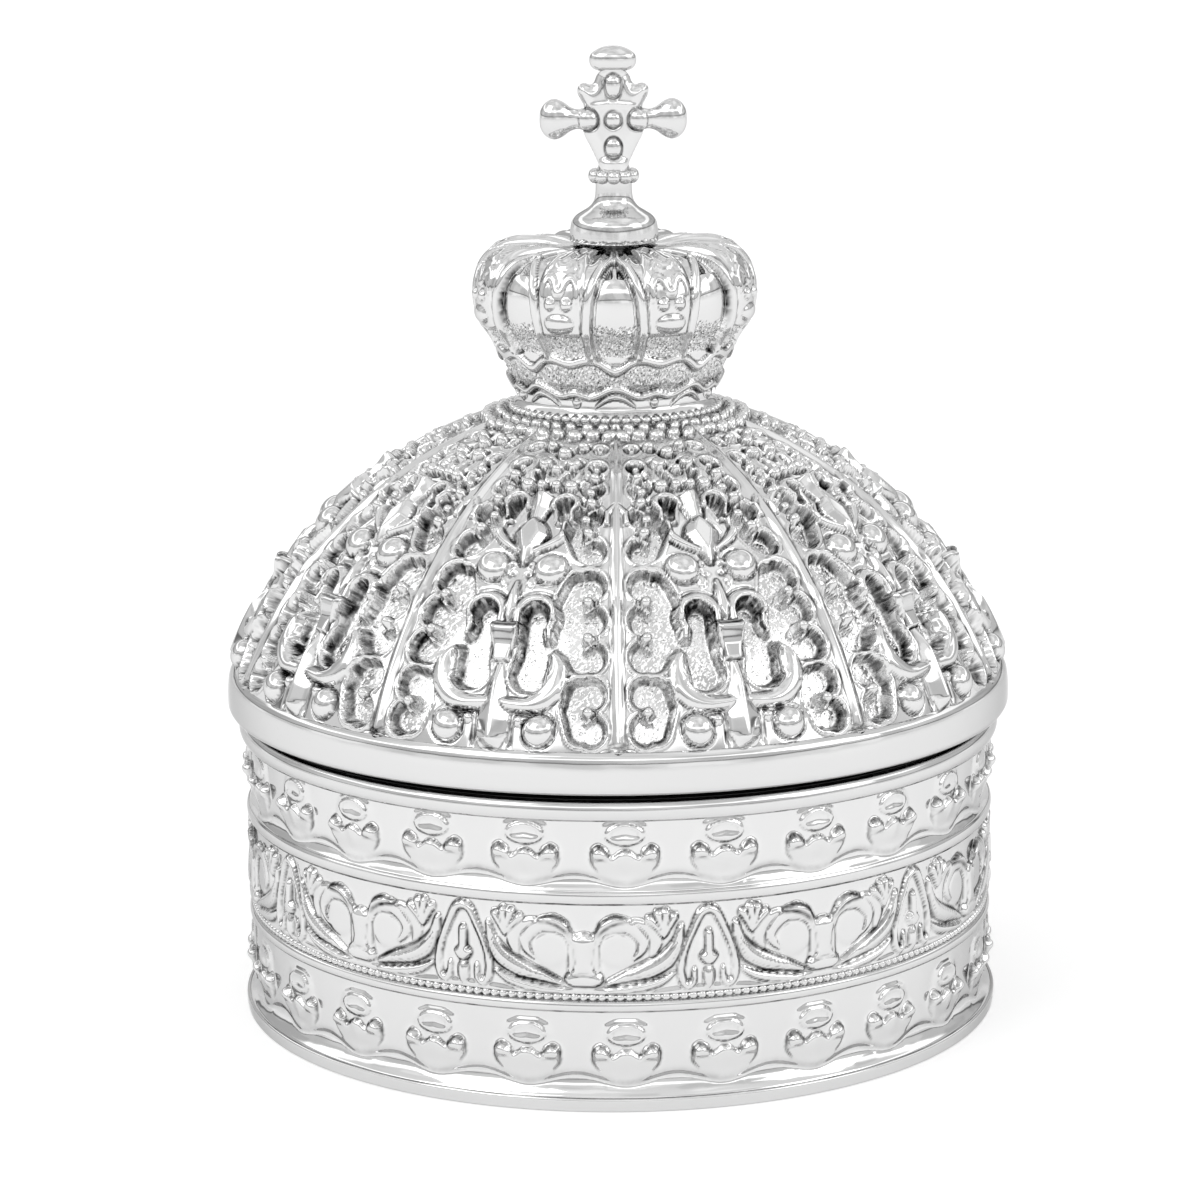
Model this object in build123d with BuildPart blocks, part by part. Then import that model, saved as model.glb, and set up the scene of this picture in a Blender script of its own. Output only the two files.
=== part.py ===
"""Wedding coin case: a round cast pot, a domed lid with ribs and fleurs-de-lis, a crown and a cross.

Millimetres, +Z up. The origin is on the table, on the axis of the pot. The front faces -Y.
"""

from build123d import *
from math import asin, cos, radians, sin, sqrt
import os

# Driving dimensions of the pot
foot_r = 37.5
ground_r = 36.5
relief_r = 37.4
ring_r = 37.2
hidden_r = 36.2
cavity_r = 34.2
floor_top = 3.2
felt_recess_r = 33.0
felt_recess_depth = 1.3
seat_z = 30.0
lip_r = 37.65
neck_r = 35.5
neck_top = 32.6

# Repeats round the case, and the turn of each row from the front
bosses_round = 25
scrolls_round = 10
gores_round = 10
arches_round = 8
front = -90.0
boss_turn = 0.8
scroll_turn = -5.0

# Rings and bands of the pot, from the foot up: lowest and highest level of each
foot_band = (0.0, 1.3)
lower_band = (3.2, 9.0)
lower_ring = (9.3, 10.4)
bead_row = (10.4, 11.1)
scroll_band = (11.5, 19.0)
upper_ring = (19.5, 20.9)
upper_band = (22.0, 27.3)
lip = (27.6, 29.6)

# Driving dimensions of the lid
rim_r = 38.6
rim_bottom = seat_z
rim_top = 34.1
socket_r = 35.9
socket_top = 33.1
dome_ball_r = 40.35
dome_centre_z = 20.1
relief_depth = 0.75
dome_wall = 2.15
dome_top = 59.1
dome_shoulder = 58.98
dome_land_r = 10.8
dome_inner_top = 55.9

# Driving dimensions of the crown, the cross and the screw joint
crown_top = 75.4
crown_r = 13.7
crown_core_r = 12.9
cross_top = 94.4
cross_arm_z = 87.4
cross_half_span = 7.1
cross_half_depth = 1.3
bell_r = 4.3
bell_bottom = 75.6
stud_r = 1.5
stud_bottom = 52.2
stud_top = 79.6
stud_clearance = 0.2


def bulge_row(low, high, width, reach):
    """A ring with an upright bulge for each motif of a boss band: flat in front, with slanted sides."""
    corners = []
    for motif in range(bosses_round):
        middle = radians(front + boss_turn + 360.0 * motif / bosses_round)
        for across, radius in ((-width / 2 - 0.5, hidden_r), (-width / 2 + 0.6, reach),
                               (width / 2 - 0.6, reach), (width / 2 + 0.5, hidden_r)):
            turn = middle + across / ground_r
            corners.append((radius * cos(turn), radius * sin(turn)))
    with BuildPart() as ring:
        with BuildSketch(Plane.XY.offset(low)):
            Polygon(*corners, align=None)
            Circle(hidden_r - 0.6, mode=Mode.SUBTRACT)
        extrude(amount=high - low)
    return ring.part


def wall_relief(outline, reach):
    """An outline drawn flat at the front of the pot, raised from the ground out to a flat face."""
    with BuildPart() as raised:
        with BuildSketch(Plane.XZ.offset(ground_r - 1.2)):
            add(outline)
        extrude(amount=reach - ground_r + 1.2)
    return raised.part


def scroll_outline():
    """Two C-scrolls back to back on a vase stem, seen from outside. Its middle is at level 0."""
    scroll_x, scroll_y, outer, inner = 2.9, 1.0, 2.6, 1.5
    with BuildSketch() as unit:
        with Locations((-scroll_x, scroll_y), (scroll_x, scroll_y)):
            RegularPolygon(outer, 8, rotation=22.5)
        with Locations((-scroll_x, scroll_y), (scroll_x, scroll_y)):
            RegularPolygon(inner, 6, mode=Mode.SUBTRACT)
        Polygon((-0.75, 2.6), (0.75, 2.6), (1.1, -0.6), (2.0, -3.7), (-2.0, -3.7), (-1.1, -0.6),
                align=None)
    return unit.sketch


def bud_outline():
    """A lily bud: a pointed drop between two short side drops. Its middle is at level 0."""
    with BuildSketch() as bud:
        Polygon((0.0, 3.6), (0.9, -0.6), (2.1, 0.0), (1.5, -3.2), (-1.5, -3.2), (-2.1, 0.0),
                (-0.9, -0.6), align=None)
    return bud.sketch


# Pot: one casting, from the foot to the neck that the lid drops over
with BuildPart() as pot:
    with BuildSketch(Plane.XZ):
        with BuildLine():
            Polyline((felt_recess_r, felt_recess_depth), (felt_recess_r, 0.0), (foot_r - 0.2, 0.0),
                     (foot_r, 0.2), (foot_r, foot_band[1]), (foot_r - 0.5, foot_band[1] + 0.15))
            Polyline((foot_r - 0.5, foot_band[1] + 0.15), (ground_r + 0.2, 2.1),
                     (ground_r + 0.2, 2.6), (ground_r, lower_band[0]), (ground_r, lower_ring[0]),
                     (ring_r, lower_ring[0] + 0.4), (ring_r, lower_ring[1] - 0.2),
                     (ground_r + 0.4, bead_row[0] + 0.1), (ground_r + 0.4, bead_row[1] - 0.2),
                     (ground_r, bead_row[1]), (ground_r, upper_ring[0]),
                     (ring_r, upper_ring[0] + 0.4), (ring_r, upper_ring[1] - 0.4),
                     (ground_r, upper_ring[1]), (ground_r, lip[0]), (relief_r, lip[0] + 0.5),
                     (lip_r, sum(lip) / 2), (relief_r, lip[1] - 0.5), (ground_r, lip[1]),
                     (ground_r, seat_z), (neck_r, seat_z), (neck_r, neck_top - 0.4),
                     (neck_r - 0.4, neck_top), (cavity_r, neck_top), (cavity_r, floor_top),
                     (0.0, floor_top), (0.0, felt_recess_depth),
                     (felt_recess_r, felt_recess_depth))
        make_face()
    revolve(axis=Axis.Z)
    for band in (lower_band, upper_band):
        add(bulge_row(band[0] + 0.4, band[0] + 3.6, 6.6, relief_r))
        add(bulge_row(band[1] - 1.7, band[1] - 0.4, 4.1, ring_r))
    scroll_level = sum(scroll_band) / 2
    scroll = wall_relief(scroll_outline(), relief_r).moved(Location((0, 0, scroll_level)))
    bud = wall_relief(bud_outline(), relief_r).moved(Location((0, 0, scroll_level)))
    with PolarLocations(0, scrolls_round, start_angle=scroll_turn):
        add(scroll)
    with PolarLocations(0, scrolls_round, start_angle=scroll_turn + 180.0 / scrolls_round):
        add(bud)
pot.part.label = "pot"

# Felt disc under the foot: it stays above the table, which only the foot ring touches
with BuildPart() as foot_felt:
    with BuildSketch(Plane.XY.offset(0.3)):
        Circle(felt_recess_r - 0.3)
    extrude(amount=felt_recess_depth - 0.3)
foot_felt.part.label = "foot_felt"

# Velvet strip round the wall, and the velvet disc that the coins lie on
lining_thickness = 0.7
with BuildPart() as wall_lining:
    with BuildSketch(Plane.XY.offset(floor_top)):
        Circle(cavity_r)
        Circle(cavity_r - lining_thickness, mode=Mode.SUBTRACT)
    extrude(amount=neck_top - 1.4 - floor_top)
wall_lining.part.label = "wall_lining"

with BuildPart() as floor_lining:
    with BuildSketch(Plane.XY.offset(floor_top)):
        Circle(cavity_r - lining_thickness - 0.2)
    extrude(amount=1.6)
    chamfer(floor_lining.edges().group_by(Axis.Z)[-1], length=0.5)
floor_lining.part.label = "floor_lining"


def on_dome(radius, level):
    """The point of a dome meridian at a level, as radius and level: the dome is part of a ball."""
    return (sqrt(radius**2 - (level - dome_centre_z) ** 2), level)


def along_dome(point):
    """The way up a dome meridian at one of its points, square to the line from its centre."""
    return (dome_centre_z - point[1], point[0])


# Meridians of the dome: the relief and the hollow are concentric balls, and the corners of the
# ground sunk between them lie on a third
ground_ball_r = dome_ball_r - relief_depth
hollow_ball_r = ground_ball_r - dome_wall
dome_foot = 35.0
relief_arc = (on_dome(dome_ball_r, dome_foot), on_dome(dome_ball_r, 46.5),
              on_dome(dome_ball_r, dome_shoulder))
hollow_arc = (on_dome(hollow_ball_r, 34.6), on_dome(hollow_ball_r, 46.5),
              on_dome(hollow_ball_r, dome_inner_top - 0.5))

# Ground body of the dome, which the pockets leave standing: it has two flat sides to each gore
# in four steps up the dome, so the pockets have flat floors, deepest in their middles
ground_rises = (14.0, 29.0, 42.0, 55.0, 75.0)
with BuildPart() as dome_ground:
    for rise in ground_rises:
        with BuildSketch(Plane.XY.offset(dome_centre_z + ground_ball_r * sin(radians(rise)))):
            RegularPolygon(ground_ball_r * cos(radians(rise)), 2 * gores_round)
    loft(ruled=True)

# A gore's ornament is drawn on a plane tangent to the dome half way up, and cut square to it
gore_lean = 41.0
gore_half = 180.0 / gores_round
gore_reach = dome_ball_r * cos(radians(gore_lean))
gore_plane = Plane(origin=(0, -gore_reach, dome_centre_z + dome_ball_r * sin(radians(gore_lean))),
                   x_dir=(1, 0, 0), z_dir=(0, -cos(radians(gore_lean)), sin(radians(gore_lean))))


def on_gore(across, up):
    """The point of the gore plane over a point of the dome.

    It is named by its way across from the middle of the gore and its way up from the rim,
    both along the dome.
    """
    rise = rim_rise + up / dome_ball_r
    turn = across / (dome_ball_r * cos(rise))
    return (dome_ball_r * cos(rise) * sin(turn),
            dome_ball_r * (sin(rise) * cos(radians(gore_lean))
                           - cos(rise) * cos(turn) * sin(radians(gore_lean))))


def beside_rib(distance, up):
    """The point of the gore plane at a distance from the middle of the right-hand rib."""
    rise = rim_rise + up / dome_ball_r
    return on_gore(dome_ball_r * cos(rise) * radians(gore_half) - distance, up)


def gore_shape(points):
    """A shape on the gore plane from its right-hand half, given as (across, up) from its foot."""
    right = [on_gore(across, up) for across, up in points]
    left = [(-across, up) for across, up in reversed(right)]
    return right + left


rim_rise = asin((rim_top - dome_centre_z) / dome_ball_r)
bite_levels = (2.1, 5.45, 9.0, 12.65, 16.25, 20.1, 24.1, 27.75)
rib_half, cusp_reach, bite_half = 1.5, 3.2, 0.95
scalloped = [beside_rib(rib_half, bite_levels[0] - 1.5)]
for level in bite_levels:
    scalloped.append(beside_rib(rib_half, level - bite_half))
    scalloped.append(beside_rib(rib_half, level + bite_half))
    scalloped.append(beside_rib(cusp_reach, level + 1.8))
scalloped.append(on_gore(1.4, 31.5))
pocket_edge = scalloped + [(-across, up) for across, up in reversed(scalloped)]
hook = ((1.0, 2.6), (4.2, 3.2), (6.4, 5.6), (6.1, 8.9), (4.7, 9.2), (4.6, 6.4), (2.9, 5.2),
        (1.1, 6.4))
stem = ((1.5, 0.2), (1.5, 2.6), (0.95, 8.1), (1.6, 12.0))
lozenge = ((0.6, 12.6), (0.4, 18.0), (1.65, 21.6), (0.6, 23.4), (1.15, 26.2))
round_bosses = ((4.4, 1.95), (2.8, 17.8))
boss_r = 1.7
with BuildPart() as pocket:
    with BuildSketch(gore_plane):
        Polygon(*pocket_edge, align=None)
        # Lower fleur-de-lis: stem with its flared cap, and a hook at each side
        Polygon(*gore_shape(stem), align=None, mode=Mode.SUBTRACT)
        for side in (-1, 1):
            Polygon(*[on_gore(side * across, up) for across, up in hook], align=None,
                    mode=Mode.SUBTRACT)
            # Round bosses at the foot and under the upper fleur-de-lis
            for across, up in round_bosses:
                with Locations(on_gore(side * across, up)):
                    RegularPolygon(boss_r, 6, mode=Mode.SUBTRACT)
        # Upper fleur-de-lis: the link and the lozenge petal with its flared tip
        Polygon(*gore_shape(lozenge), align=None, mode=Mode.SUBTRACT)
    extrude(amount=12, both=True)
    add(dome_ground.part, mode=Mode.SUBTRACT)

# Domed lid: rim band, relief dome and hollow in one casting, with the pockets sunk into it
with BuildPart() as dome_lid:
    with BuildSketch(Plane.XZ):
        with BuildLine():
            Polyline((socket_r, rim_bottom), (rim_r - 0.8, rim_bottom), (rim_r - 0.25, 30.35),
                     (rim_r, 31.0), (rim_r, 32.4), (rim_r - 0.4, 33.6), (rim_r - 0.9, rim_top),
                     relief_arc[0])
            Spline(*relief_arc, tangents=(along_dome(relief_arc[0]), along_dome(relief_arc[2])))
            Polyline(relief_arc[2], (dome_land_r, dome_top), (0.0, dome_top), (0.0, dome_inner_top),
                     (hollow_arc[2][0] - 0.8, dome_inner_top), hollow_arc[2])
            ThreePointArc(hollow_arc[2], hollow_arc[1], hollow_arc[0])
            Polyline(hollow_arc[0], (socket_r, socket_top), (socket_r, rim_bottom))
        make_face()
    revolve(axis=Axis.Z)
    with PolarLocations(0, gores_round, start_angle=180.0 / gores_round):
        add(pocket.part, mode=Mode.SUBTRACT)
    with Locations((0, 0, dome_inner_top)):
        Cylinder(stud_r + stud_clearance, dome_top - dome_inner_top,
                 align=(Align.CENTER, Align.CENTER, Align.MIN), mode=Mode.SUBTRACT)
dome_lid.part.label = "dome_lid"

# Core of the crown: the smooth surface at the bottom of the pointed panels
with BuildPart() as crown_core:
    with BuildSketch(Plane.XZ):
        with BuildLine():
            Polyline((0.0, 60.0), (9.0, 60.0), (11.2, 66.4), (12.4, 68.4), (crown_core_r, 70.2),
                     (crown_core_r, 71.4), (11.9, 73.8), (11.4, 74.3), (0.0, 74.3), (0.0, 60.0))
        make_face()
    revolve(axis=Axis.Z)

# One pointed panel at the front, cut back to the core
panel_half, panel_foot, panel_point = 2.3, 66.6, 74.4
with BuildPart() as panel_cut:
    with BuildSketch(Plane.XZ.offset(9.0)):
        with BuildLine():
            ThreePointArc((-panel_half, panel_foot), (-panel_half + 0.45, 71.0), (0.0, panel_point))
            ThreePointArc((0.0, panel_point), (panel_half - 0.45, 71.0), (panel_half, panel_foot))
            Line((panel_half, panel_foot), (-panel_half, panel_foot))
        make_face()
    extrude(amount=6.0)
    add(crown_core.part, mode=Mode.SUBTRACT)

# Crown: bead ring and collar, flared sandy cup, eight wide lobes between eight panels
with BuildPart() as crown:
    with BuildSketch(Plane.XZ):
        with BuildLine():
            Polyline((0.0, dome_top), (10.1, dome_top), (10.5, 59.3), (10.5, 59.8), (9.7, 60.4),
                     (9.7, 61.4), (10.3, 62.4), (10.4, 63.1), (11.4, 64.5), (11.8, 66.2))
            Polyline((11.8, 66.2), (13.2, 68.2), (crown_r, 70.2), (crown_r, 71.6), (13.2, 73.2),
                     (12.2, 74.4), (10.6, 75.2), (8.6, crown_top), (0.0, crown_top),
                     (0.0, dome_top))
        make_face()
    revolve(axis=Axis.Z)
    with PolarLocations(0, arches_round):
        add(panel_cut.part, mode=Mode.SUBTRACT)
    with Locations((0, 0, dome_top)):
        Cylinder(stud_r + stud_clearance, crown_top - dome_top,
                 align=(Align.CENTER, Align.CENTER, Align.MIN), mode=Mode.SUBTRACT)
crown.part.label = "crown"

# Cross: bell foot and bead ring turned on the axis, the cross itself drawn from the front
with BuildPart() as cross_finial:
    with BuildSketch(Plane.XZ):
        with BuildLine():
            Polyline((0.0, crown_top), (2.4, crown_top), (2.4, bell_bottom), (bell_r, bell_bottom),
                     (bell_r, 77.4), (4.0, 78.0), (3.0, 78.8), (2.1, 79.5), (1.75, 80.9),
                     (2.5, 81.5), (2.5, 82.4), (1.6, 82.9), (1.5, 83.6), (0.0, 83.6),
                     (0.0, crown_top))
        make_face()
    revolve(axis=Axis.Z)
    with BuildSketch(Plane.XZ.offset(-cross_half_depth)):
        Polygon((-1.5, 82.9), (1.5, 82.9), (2.9, 86.1), (2.9, 87.6), (2.6, 89.4), (1.4, 91.0),
                (-1.4, 91.0), (-2.6, 89.4), (-2.9, 87.6), (-2.9, 86.1), align=None)
        with Locations((0, cross_arm_z)):
            Rectangle(2 * (cross_half_span - 1.5), 2.1)
        with Locations((1.5 - cross_half_span, cross_arm_z), (cross_half_span - 1.5, cross_arm_z)):
            Ellipse(1.5, 1.95)
        with Locations((0, 91.2)):
            Rectangle(2.9, 2.0)
        with Locations((0, cross_top - 1.3)):
            Ellipse(2.3, 1.3)
        Polygon((-3.3, 90.7), (-1.6, 89.4), (1.6, 89.4), (3.3, 90.7), (1.2, 91.0), (-1.2, 91.0),
                align=None)
    extrude(amount=2 * cross_half_depth)
    with Locations((0, 0, crown_top)):
        Cylinder(stud_r, stud_top - crown_top, align=(Align.CENTER, Align.CENTER, Align.MIN),
                 mode=Mode.SUBTRACT)
cross_finial.part.label = "cross_finial"

# Screw joint inside the lid: the stud, and the washer and nut under the dome
washer_thickness = 0.6
nut_height = 2.4
with BuildPart() as finial_stud:
    with BuildSketch(Plane.XY.offset(stud_bottom)):
        Circle(stud_r)
    extrude(amount=stud_top - stud_bottom)
    chamfer(finial_stud.edges().group_by(Axis.Z)[0], length=0.4)
finial_stud.part.label = "finial_stud"

with BuildPart() as stud_washer:
    with BuildSketch(Plane.XY.offset(dome_inner_top - washer_thickness)):
        Circle(3.5)
        Circle(stud_r + 0.1, mode=Mode.SUBTRACT)
    extrude(amount=washer_thickness)
stud_washer.part.label = "stud_washer"

with BuildPart() as stud_nut:
    with BuildSketch(Plane.XY.offset(dome_inner_top - washer_thickness - nut_height)):
        RegularPolygon(2.75, 6, major_radius=False)
        Circle(stud_r, mode=Mode.SUBTRACT)
    extrude(amount=nut_height)
stud_nut.part.label = "stud_nut"

os.makedirs("parts", exist_ok=True)
for piece in (pot, foot_felt, wall_lining, floor_lining, dome_lid, crown, cross_finial,
              finial_stud, stud_washer, stud_nut):
    export_step(piece.part, f"parts/{piece.part.label}.step")
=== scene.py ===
"""Wedding coin case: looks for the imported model.

Shapes are worked out in millimetres, then stored in metres. The front of the case faces -Y."""

from math import cos, pi, radians, sin

import bpy
import numpy as np
from mathutils import Matrix, Vector


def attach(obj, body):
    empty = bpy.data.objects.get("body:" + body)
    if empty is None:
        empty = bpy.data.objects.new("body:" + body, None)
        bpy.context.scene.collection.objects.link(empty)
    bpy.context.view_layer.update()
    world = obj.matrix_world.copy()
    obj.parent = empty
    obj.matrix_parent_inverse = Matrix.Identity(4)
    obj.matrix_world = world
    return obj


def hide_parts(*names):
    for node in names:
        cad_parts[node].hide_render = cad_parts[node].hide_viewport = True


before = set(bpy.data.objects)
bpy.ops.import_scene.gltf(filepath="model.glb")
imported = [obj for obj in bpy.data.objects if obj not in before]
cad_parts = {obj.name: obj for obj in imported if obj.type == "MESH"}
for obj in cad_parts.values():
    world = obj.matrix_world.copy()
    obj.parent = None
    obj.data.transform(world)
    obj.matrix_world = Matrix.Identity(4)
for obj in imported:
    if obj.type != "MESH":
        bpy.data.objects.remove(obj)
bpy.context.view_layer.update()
MM = 0.001
SAME_PLACE = 1e-6
CREASE_ANGLE = 35
rng = np.random.default_rng(7)


# Meshes

def closed_grid(grid, along):
    """Points and faces of a grid, rows by columns, closed round the columns and, with along, round the rows
    too. Rows that have shrunk to one point close as a pole. Gives the points, the faces as arrays of
    squares and triangles, and the places in the grid that the points come from."""
    rows, columns = grid.shape[:2]
    i, j = np.meshgrid(np.arange(rows if along else rows - 1), np.arange(columns), indexing="ij")
    i2, j2 = (i + 1) % rows, (j + 1) % columns
    corners = (i * columns + j, i * columns + j2, i2 * columns + j2, i2 * columns + j)
    points = grid.reshape(-1, 3)
    keep = np.arange(len(points))
    for first in range(0, len(points), columns):
        if np.ptp(points[first:first + columns], axis=0).max() < SAME_PLACE:
            keep[first:first + columns] = first
    used, compact = np.unique(keep, return_inverse=True)
    quads = compact.reshape(-1)[np.stack(corners, axis=-1).reshape(-1, 4)]
    from_pole = (quads[:, 0] == quads[:, 1]) & (quads[:, 2] != quads[:, 3])
    to_pole = (quads[:, 2] == quads[:, 3]) & (quads[:, 0] != quads[:, 1])
    whole = ~from_pole & ~to_pole & (quads[:, 0] != quads[:, 1])
    faces = quads[whole], quads[from_pole][:, [0, 2, 3]], quads[to_pole][:, [0, 1, 2]]
    return points[used], faces, used


def make_piece(name, grid, material, body, node, along=True, attributes=None, normals=None,
               crease=None):
    """A smooth mesh from a grid of points. Attributes and normals hold a value for each grid point. Edges
    that turn by more than the crease angle, in degrees, stay sharp."""
    points, faces, used = closed_grid(grid, along)
    loops = np.concatenate([face.reshape(-1) for face in faces])
    sizes = np.concatenate([np.full(len(face), face.shape[1]) for face in faces])
    starts = np.concatenate(([0], np.cumsum(sizes)[:-1]))
    mesh = bpy.data.meshes.new(name)
    mesh.vertices.add(len(points))
    mesh.vertices.foreach_set("co", (points * MM).astype(np.float32).reshape(-1))
    mesh.loops.add(len(loops))
    mesh.loops.foreach_set("vertex_index", loops.astype(np.int32))
    mesh.polygons.add(len(sizes))
    mesh.polygons.foreach_set("loop_start", starts.astype(np.int32))
    mesh.polygons.foreach_set("use_smooth", np.ones(len(sizes), dtype=bool))
    mesh.update(calc_edges=True)
    for key, values in (attributes or {}).items():
        layer = mesh.attributes.new(key, "FLOAT", "POINT")
        layer.data.foreach_set("value", values.reshape(-1)[used].astype(np.float32))
    if normals is not None:
        mesh.normals_split_custom_set_from_vertices(normals.reshape(-1, 3)[used].tolist())
    elif crease:
        mesh.set_sharp_from_angle(angle=radians(crease))
    mesh.materials.append(material)
    piece = bpy.data.objects.new(name, mesh)
    bpy.context.scene.collection.objects.link(piece)
    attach(piece, body)
    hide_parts(node)


def arc(x, y, radius, start, end, count=12):
    """Points of an arc about (x, y): x + r cos a, y + r sin a, from one angle in degrees to another."""
    angle = np.radians(np.linspace(start, end, count))
    return np.column_stack((x + radius * np.cos(angle), y + radius * np.sin(angle)))


def curve(points, count=20):
    """A smooth line through points: Catmull-Rom, cubic between each two with slopes from their neighbours."""
    p = np.asarray(points, dtype=float)
    p = np.vstack((2 * p[0] - p[1], p, 2 * p[-1] - p[-2]))
    place = np.linspace(0, len(p) - 3 - 1e-9, count)
    k = place.astype(int)
    t = (place - k)[:, None]
    a, b, c, d = p[k], p[k + 1], p[k + 2], p[k + 3]
    return 0.5 * (2 * b + (c - a) * t + (2 * a - 5 * b + 4 * c - d) * t**2 + (3 * b - a - 3 * c + d) * t**3)


def turned(name, profile, material, body, node, columns=360):
    """A profile of (radius, level) points carried round the axis: (r cos a, r sin a, z). A point that
    repeats the one before it drops out."""
    profile = np.vstack([np.atleast_2d(part) for part in profile])
    moved = np.abs(np.diff(profile, axis=0)).max(axis=1) > SAME_PLACE
    profile = profile[np.append(True, moved)]
    angle = np.linspace(0, 2 * pi, columns, endpoint=False)
    grid = np.empty((len(profile), columns, 3))
    grid[..., 0] = profile[:, :1] * np.cos(angle)
    grid[..., 1] = profile[:, :1] * np.sin(angle)
    grid[..., 2] = profile[:, 1:]
    make_piece(name, grid, material, body, node, crease=CREASE_ANGLE)


# Relief: heights worked out on a flat grid, u across and v up, in millimetres

def inside(u, v, path, widths):
    """How far a point lies inside a stroke along a path: w - d, with d the distance to the path and w its
    half width there. It is below 0 outside."""
    path = np.asarray(path, dtype=float)
    widths = np.atleast_1d(widths)
    widths = np.interp(np.linspace(0, 1, len(path)), np.linspace(0, 1, len(widths)), widths)
    best = np.full(np.broadcast(u, v).shape, -99.0)
    for (ax, ay), (bx, by), wa, wb in zip(path[:-1], path[1:], widths[:-1], widths[1:]):
        dx, dy = bx - ax, by - ay
        t = np.clip(((u - ax) * dx + (v - ay) * dy) / (dx * dx + dy * dy), 0, 1)
        best = np.maximum(best, wa + t * (wb - wa) - np.hypot(u - ax - t * dx, v - ay - t * dy))
    return best


def cord(u, v, path, widths):
    """A round cord along a path: sqrt(1 - (1 - i / w)^2), with i the way inside the stroke and w its widest
    half width."""
    size = np.max(widths)
    return np.sqrt(np.clip(1 - (1 - np.clip(inside(u, v, path, widths) / size, 0, 1)) ** 2, 0, None))


def boss(u, v, x, y, half_x, half_y=None):
    """A round or oval boss: sqrt(1 - (dx/a)^2 - (dy/b)^2)."""
    half_y = half_y or half_x
    return np.sqrt(np.clip(1 - ((u - x) / half_x) ** 2 - ((v - y) / half_y) ** 2, 0, None))


def rod(way):
    """The round back of a rod: sqrt(1 - way^2), with way out from its middle as a share of its half width."""
    return np.sqrt(np.clip(1 - way**2, 0, None))


def ease(value, start, end):
    """A smooth step from 0 at start to 1 at end: t^2 (3 - 2 t)."""
    t = np.clip((value - start) / (end - start), 0, 1)
    return t * t * (3 - 2 * t)


def step(value, place, width=0.3):
    """A smooth step from 0 to 1, centred on a place."""
    return ease(value, place - width / 2, place + width / 2)


def line(way, width):
    """A soft line where way is 0: exp(-(way / width)^2)."""
    return np.exp(-(way / width) ** 2)


def dash(across, along):
    """A soft dash, short where both ways leave 0: exp(-(across^2 + along^2))."""
    return line(np.hypot(across, along), 1.0)


def width_at(v, table):
    """The half width at each height, straight between the (height, half width) pairs of a table."""
    table = np.asarray(table, dtype=float)
    return np.interp(v, table[:, 0], table[:, 1], left=-1.0, right=-1.0)


def plate(depth, edge=0.5):
    """A plate with a rounded edge: sqrt(1 - (1 - d / e)^2) at d in from its outline, up to d = e, then 1."""
    return np.sqrt(1 - (1 - np.clip(depth / edge, 0, 1)) ** 2)


def leaf(u, v, table, edge=0.5):
    """A spear or petal about the middle line: it rises from its edge as sin of the way in."""
    depth = (width_at(v, table) - np.abs(u)) / edge
    return np.sin(0.5 * pi * np.clip(depth, 0, 1))


def lift(field, base, rise, shape):
    """Lays a shape on a relief where the shape is above 0: the higher of relief and base + rise * shape."""
    return np.where(shape > 0, np.maximum(field, base + rise * shape), field)


def groove(field, depth, way, width):
    """Cuts a soft groove into a relief, along the line where way is 0."""
    return field - depth * line(way, width)


def blur(field, reach):
    """A box mean over a square of cells, wrapped round the columns and held at the first and last rows."""
    out = np.zeros_like(field)
    for k in range(-reach, reach + 1):
        out += np.roll(field, k, axis=1)
    out /= 2 * reach + 1
    padded = np.pad(out, ((reach, reach), (0, 0)), mode="edge")
    total = np.zeros_like(field)
    for k in range(2 * reach + 1):
        total += padded[k:k + len(field)]
    return total / (2 * reach + 1)


def soften(field):
    """Rounds a relief's sharp foot lines, as casting and polishing do: half itself and half its blur."""
    return 0.5 * field + 0.5 * blur(field, 1)


def shading(height, sand, shadow_lines, spacing):
    """Painted shade beside the shape, for the silver's colour: how hollow a place is, by its mean
    surroundings and by the undersides over it, and how tight a crease is, with the painted shadow lines on
    top."""
    hollow_depth, crease_start, crease_depth = 0.8, 0.012, 0.07
    # Painted shade: undersides that face down over a sunk place, hollows by their surroundings, and tight
    # creases; less of it on sand.
    under = ease(np.gradient(height, axis=0) / spacing, 0.2, 1.4) * ease(-height, 0.05, 0.7)
    hollow = np.clip((blur(height, 4) - height) / hollow_depth + 0.55 * under, 0, 1) * (1 - 0.6 * sand)
    tight = np.clip((blur(height, 1) - height - crease_start) / crease_depth, 0, 1) * (1 - sand)
    for field in shadow_lines:
        tight = np.maximum(tight, field)
    return hollow, tight


def ring_points(radius, level, angle):
    """Points round the axis: (r cos a, r sin a, z)."""
    return np.stack((radius * np.cos(angle), radius * np.sin(angle), level + 0 * angle), axis=-1)


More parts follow.
